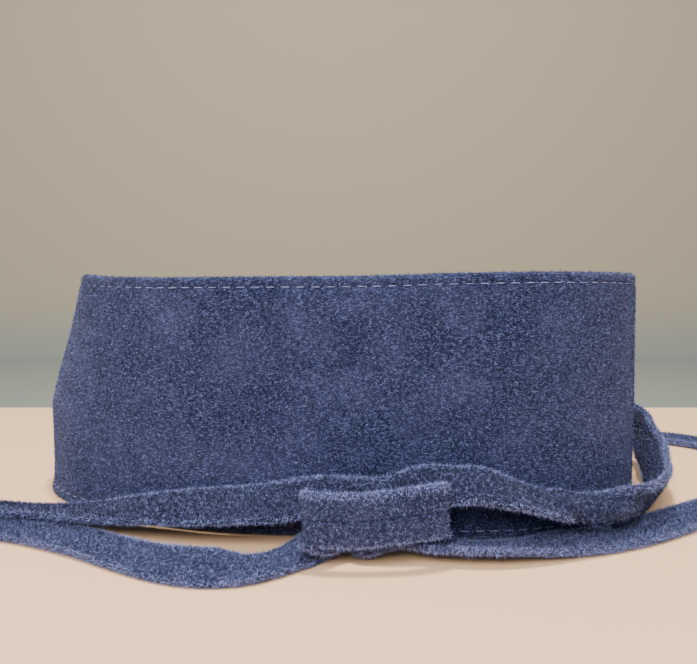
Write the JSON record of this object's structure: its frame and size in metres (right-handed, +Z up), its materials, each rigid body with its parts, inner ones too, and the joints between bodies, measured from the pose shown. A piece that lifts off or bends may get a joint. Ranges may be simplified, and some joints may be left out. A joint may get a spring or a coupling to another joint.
{
  "type": "wrap_belt",
  "caption": "Blue suede wrap belt standing on its lower edge: a wide front panel with stitched hems and narrow ties crossed and looped in front",
  "frame": {"origin": "middle of the belt's footprint, on the shelf it stands on", "axes": "+X runs along the front panel to the right as seen from the front, +Y from the front to the back, +Z up"},
  "size_m": [0.384, 0.2108, 0.1008],
  "materials": {
    "suede": "matte",
    "tie_suede": "matte"
  },
  "bodies": {
    "root": {"panel": "suede", "left_tie": "tie_suede", "right_tie": "tie_suede"}
  },
  "joints": []
}
